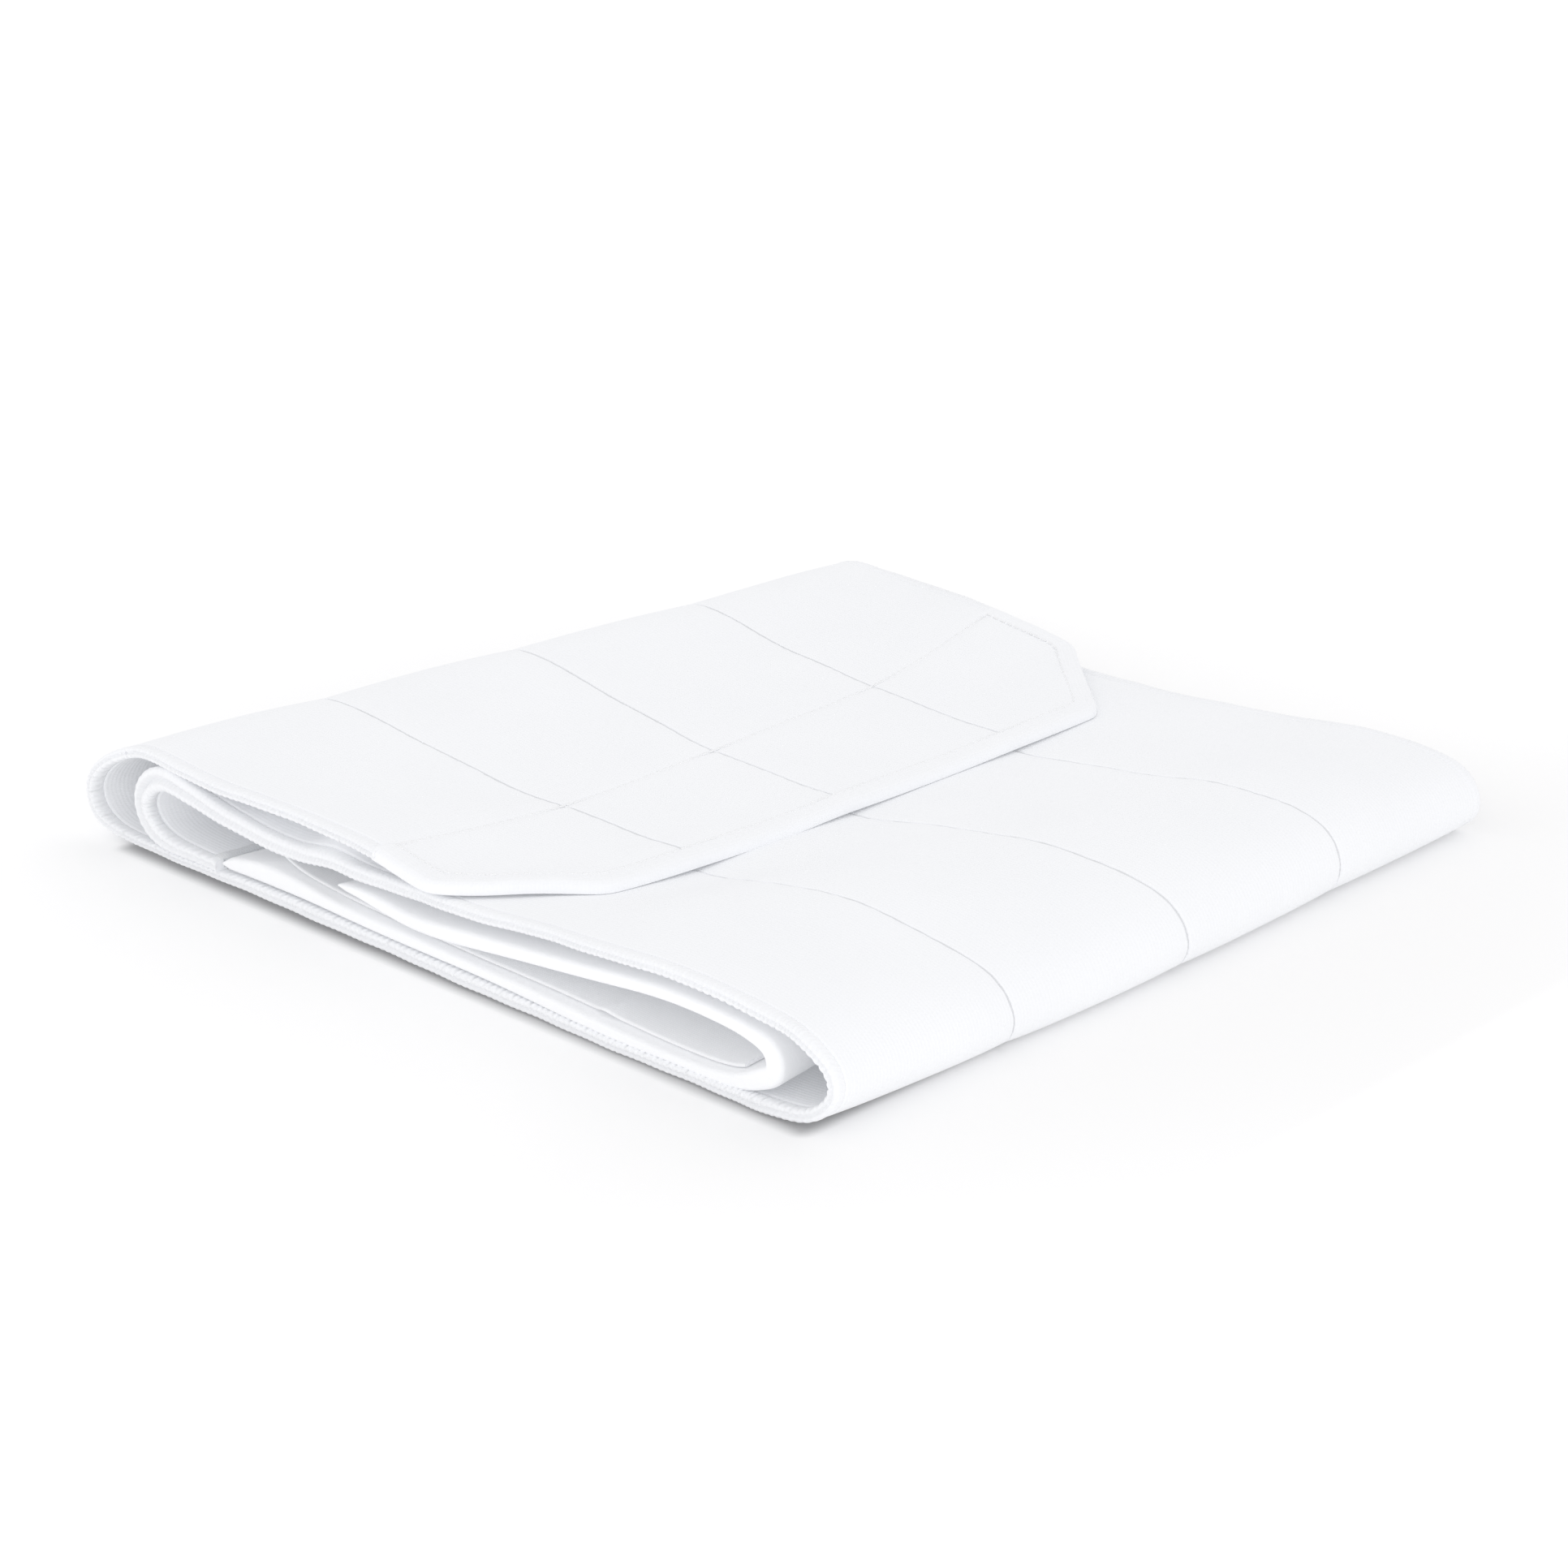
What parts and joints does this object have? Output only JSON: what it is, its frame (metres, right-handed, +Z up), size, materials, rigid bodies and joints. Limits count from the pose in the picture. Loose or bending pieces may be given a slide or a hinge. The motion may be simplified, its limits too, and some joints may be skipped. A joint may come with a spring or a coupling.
{
  "type": "abdominal binder",
  "caption": "Wide white elastic body binder with sewn panels, rolled flat, its bevelled hook-and-loop closing tab lying on top.",
  "frame": {"origin": "centre of the bounding box at the table surface", "axes": "+X along the belt towards the right fold, +Y across its width away from the viewer, +Z up"},
  "size_m": [0.328, 0.305, 0.034],
  "materials": {
    "flap_elastic_panel_1": "white ribbed elastic knit, matt",
    "flap_elastic_panel_2": "white ribbed elastic knit, matt",
    "flap_elastic_panel_3": "white ribbed elastic knit, matt",
    "flap_elastic_panel_4": "white ribbed elastic knit, matt",
    "flap_far_edge": "white overlocked edge",
    "flap_near_edge": "white overlocked edge",
    "flap_panel_seam_1": "white joining seam",
    "flap_panel_seam_2": "white joining seam",
    "flap_panel_seam_3": "white joining seam",
    "hook_patch_stitch_row": "white lockstitch thread",
    "inner_end_ply": "thin smooth white knit",
    "loop_panel_seam": "white joining seam",
    "padded_loop_panel": "thick brushed white loop fabric",
    "roll_elastic_panel_1": "white ribbed elastic knit, matt",
    "roll_elastic_panel_2": "white ribbed elastic knit, matt",
    "roll_elastic_panel_3": "white ribbed elastic knit, matt",
    "roll_elastic_panel_4": "white ribbed elastic knit, matt",
    "roll_far_edge": "white overlocked edge",
    "roll_near_edge": "white overlocked edge",
    "roll_panel_seam_1": "white joining seam",
    "roll_panel_seam_2": "white joining seam",
    "roll_panel_seam_3": "white joining seam",
    "tab_border_stitch_row": "white lockstitch thread",
    "tab_elastic_panel_1": "white ribbed elastic knit, matt",
    "tab_elastic_panel_2": "white ribbed elastic knit, matt",
    "tab_elastic_panel_3": "white ribbed elastic knit, matt",
    "tab_elastic_panel_4": "white ribbed elastic knit, matt",
    "tab_hook_patch": "white hook tape, stiff, low sheen",
    "tab_panel_seam_1": "white joining seam",
    "tab_panel_seam_2": "white joining seam",
    "tab_panel_seam_3": "white joining seam",
    "tab_turned_border": "white turned hem, puffy"
  },
  "bodies": {
    "roll": {"roll_elastic_panel_1": "roll_elastic_panel_1", "roll_elastic_panel_2": "roll_elastic_panel_2", "roll_elastic_panel_3": "roll_elastic_panel_3", "roll_elastic_panel_4": "roll_elastic_panel_4", "roll_far_edge": "roll_far_edge", "roll_near_edge": "roll_near_edge", "roll_panel_seam_1": "roll_panel_seam_1", "roll_panel_seam_2": "roll_panel_seam_2", "roll_panel_seam_3": "roll_panel_seam_3", "padded_loop_panel": "padded_loop_panel", "inner_end_ply": "inner_end_ply", "loop_panel_seam": "loop_panel_seam"},
    "flap": {"flap_elastic_panel_1": "flap_elastic_panel_1", "flap_elastic_panel_2": "flap_elastic_panel_2", "flap_elastic_panel_3": "flap_elastic_panel_3", "flap_elastic_panel_4": "flap_elastic_panel_4", "flap_far_edge": "flap_far_edge", "flap_near_edge": "flap_near_edge", "flap_panel_seam_1": "flap_panel_seam_1", "flap_panel_seam_2": "flap_panel_seam_2", "flap_panel_seam_3": "flap_panel_seam_3", "hook_patch_stitch_row": "hook_patch_stitch_row"},
    "tab": {"tab_border_stitch_row": "tab_border_stitch_row", "tab_elastic_panel_1": "tab_elastic_panel_1", "tab_elastic_panel_2": "tab_elastic_panel_2", "tab_elastic_panel_3": "tab_elastic_panel_3", "tab_elastic_panel_4": "tab_elastic_panel_4", "tab_hook_patch": "tab_hook_patch", "tab_panel_seam_1": "tab_panel_seam_1", "tab_panel_seam_2": "tab_panel_seam_2", "tab_panel_seam_3": "tab_panel_seam_3", "tab_turned_border": "tab_turned_border"}
  },
  "joints": [
    {"name": "flap_lift", "type": "hinge", "parent": "roll", "child": "flap", "pos_m": [-0.119, 0, 0.034], "axis": [0, -1, 0], "range_deg": [0, 150]},
    {"name": "tab_peel", "type": "hinge", "parent": "flap", "child": "tab", "pos_m": [-0.035, 0, 0.0272], "axis": [0, -1, 0], "range_deg": [0, 120]}
  ]
}
